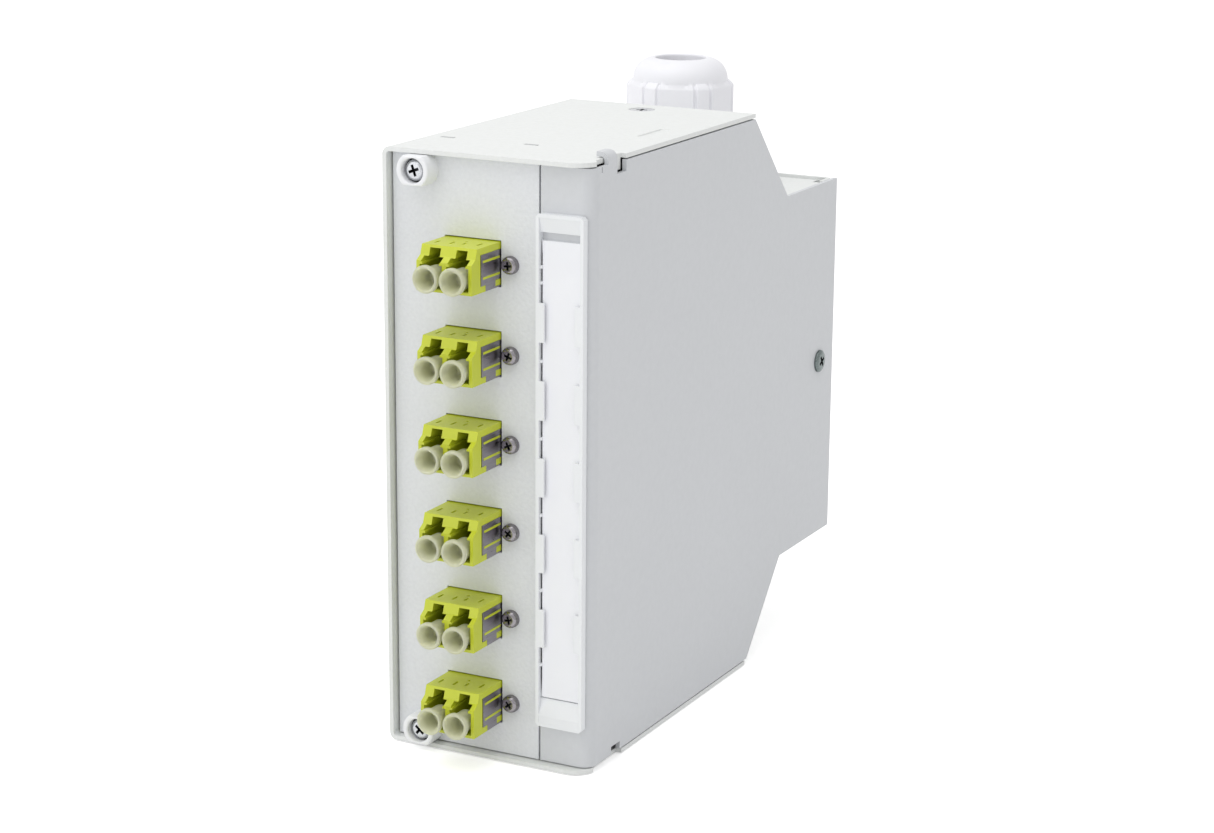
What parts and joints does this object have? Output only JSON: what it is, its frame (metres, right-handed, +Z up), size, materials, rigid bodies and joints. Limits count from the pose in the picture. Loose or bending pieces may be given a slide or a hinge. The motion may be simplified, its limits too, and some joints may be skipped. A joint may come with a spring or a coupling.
{
  "type": "fibre distribution box",
  "caption": "Narrow folded steel fibre box for a 35 mm rail: capped duplex adapters on its front plate, a lift-off side cover, a rear cable gland and a splice tray.",
  "frame": {"origin": "middle of the flat bottom plate, on the surface that the box stands on", "axes": "X across the box towards the cover, Y from the front plate to the rail at the back, Z up"},
  "size_m": [0.0507, 0.1458, 0.1378],
  "materials": {
    "case_paint": "light grey powder coat",
    "cover_paint": "smooth light grey powder coat",
    "panel_paint": "light grey powder coat with a fine texture",
    "bracket_steel": "zinc-plated sheet steel",
    "screw_steel": "nickel-plated steel",
    "clip_steel": "thin stamped stainless strip",
    "white_plastic": "white moulded plastic",
    "label_card": "plain pale label",
    "lime_plastic": "lime green moulded plastic",
    "cap_plastic": "soft translucent plastic",
    "gland_plastic": "off-white moulded plastic",
    "seal_rubber": "black rubber",
    "tray_plastic": "light grey moulded plastic",
    "clear_plastic": "clear moulded plastic"
  },
  "bodies": {
    "housing": {"chassis": "case_paint", "gland_plate": "case_paint", "lower_rear_plate": "case_paint", "panel_bracket_upper": "bracket_steel", "panel_bracket_lower": "bracket_steel", "gland_body": "gland_plastic", "gland_locknut": "gland_plastic", "gland_seal": "seal_rubber", "rail_bracket": "bracket_steel", "latch_spring": "bracket_steel", "tray_standoffs": "bracket_steel", "splice_tray": "tray_plastic", "splice_comb": "tray_plastic"},
    "cover": {"cover": "cover_paint", "cover_screw": "screw_steel", "label_holder": "white_plastic", "label_strip": "label_card"},
    "panel": {"front_panel": "panel_paint", "collar_sleeve_upper": "white_plastic", "collar_sleeve_lower": "white_plastic", "collar_screw_upper": "screw_steel", "collar_screw_lower": "screw_steel", "adapters": "lime_plastic", "adapter_clips": "clip_steel", "inner_plugs": "cap_plastic"},
    "rail_latch": {"rail_latch": "bracket_steel"},
    "gland_nut": {"gland_nut": "gland_plastic"},
    "tray_lid": {"tray_lid": "clear_plastic"},
    "cap_1": {"dust_cap_1": "cap_plastic"},
    "cap_2": {"dust_cap_2": "cap_plastic"},
    "cap_3": {"dust_cap_3": "cap_plastic"},
    "cap_4": {"dust_cap_4": "cap_plastic"},
    "cap_5": {"dust_cap_5": "cap_plastic"},
    "cap_6": {"dust_cap_6": "cap_plastic"},
    "cap_7": {"dust_cap_7": "cap_plastic"},
    "cap_8": {"dust_cap_8": "cap_plastic"},
    "cap_9": {"dust_cap_9": "cap_plastic"},
    "cap_10": {"dust_cap_10": "cap_plastic"},
    "cap_11": {"dust_cap_11": "cap_plastic"},
    "cap_12": {"dust_cap_12": "cap_plastic"}
  },
  "joints": [
    {"name": "cover_slide", "type": "slide", "parent": "housing", "child": "cover", "axis": [1, 0, 0], "range_m": [0, 0.06]},
    {"name": "panel_slide", "type": "slide", "parent": "housing", "child": "panel", "axis": [0, -1, 0], "range_m": [0, 0.06]},
    {"name": "latch_slide", "type": "slide", "parent": "housing", "child": "rail_latch", "axis": [0, 0, -1], "range_m": [0, 0.0035], "stiffness_N_per_m": 2000, "deforming": ["latch_spring"]},
    {"name": "gland_nut_turn", "type": "hinge", "parent": "housing", "child": "gland_nut", "pos_m": [-0.01085, 0.0737, 0.125], "axis": [0, 0, 1], "range_deg": [0, 360]},
    {"name": "tray_lid_lift", "type": "slide", "parent": "housing", "child": "tray_lid", "axis": [1, 0, 0], "range_m": [0, 0.02]},
    {"name": "cap_1_pull", "type": "slide", "parent": "panel", "child": "cap_1", "axis": [0, -1, 0], "range_m": [0, 0.02]},
    {"name": "cap_2_pull", "type": "slide", "parent": "panel", "child": "cap_2", "axis": [0, -1, 0], "range_m": [0, 0.02]},
    {"name": "cap_3_pull", "type": "slide", "parent": "panel", "child": "cap_3", "axis": [0, -1, 0], "range_m": [0, 0.02]},
    {"name": "cap_4_pull", "type": "slide", "parent": "panel", "child": "cap_4", "axis": [0, -1, 0], "range_m": [0, 0.02]},
    {"name": "cap_5_pull", "type": "slide", "parent": "panel", "child": "cap_5", "axis": [0, -1, 0], "range_m": [0, 0.02]},
    {"name": "cap_6_pull", "type": "slide", "parent": "panel", "child": "cap_6", "axis": [0, -1, 0], "range_m": [0, 0.02]},
    {"name": "cap_7_pull", "type": "slide", "parent": "panel", "child": "cap_7", "axis": [0, -1, 0], "range_m": [0, 0.02]},
    {"name": "cap_8_pull", "type": "slide", "parent": "panel", "child": "cap_8", "axis": [0, -1, 0], "range_m": [0, 0.02]},
    {"name": "cap_9_pull", "type": "slide", "parent": "panel", "child": "cap_9", "axis": [0, -1, 0], "range_m": [0, 0.02]},
    {"name": "cap_10_pull", "type": "slide", "parent": "panel", "child": "cap_10", "axis": [0, -1, 0], "range_m": [0, 0.02]},
    {"name": "cap_11_pull", "type": "slide", "parent": "panel", "child": "cap_11", "axis": [0, -1, 0], "range_m": [0, 0.02]},
    {"name": "cap_12_pull", "type": "slide", "parent": "panel", "child": "cap_12", "axis": [0, -1, 0], "range_m": [0, 0.02]}
  ]
}
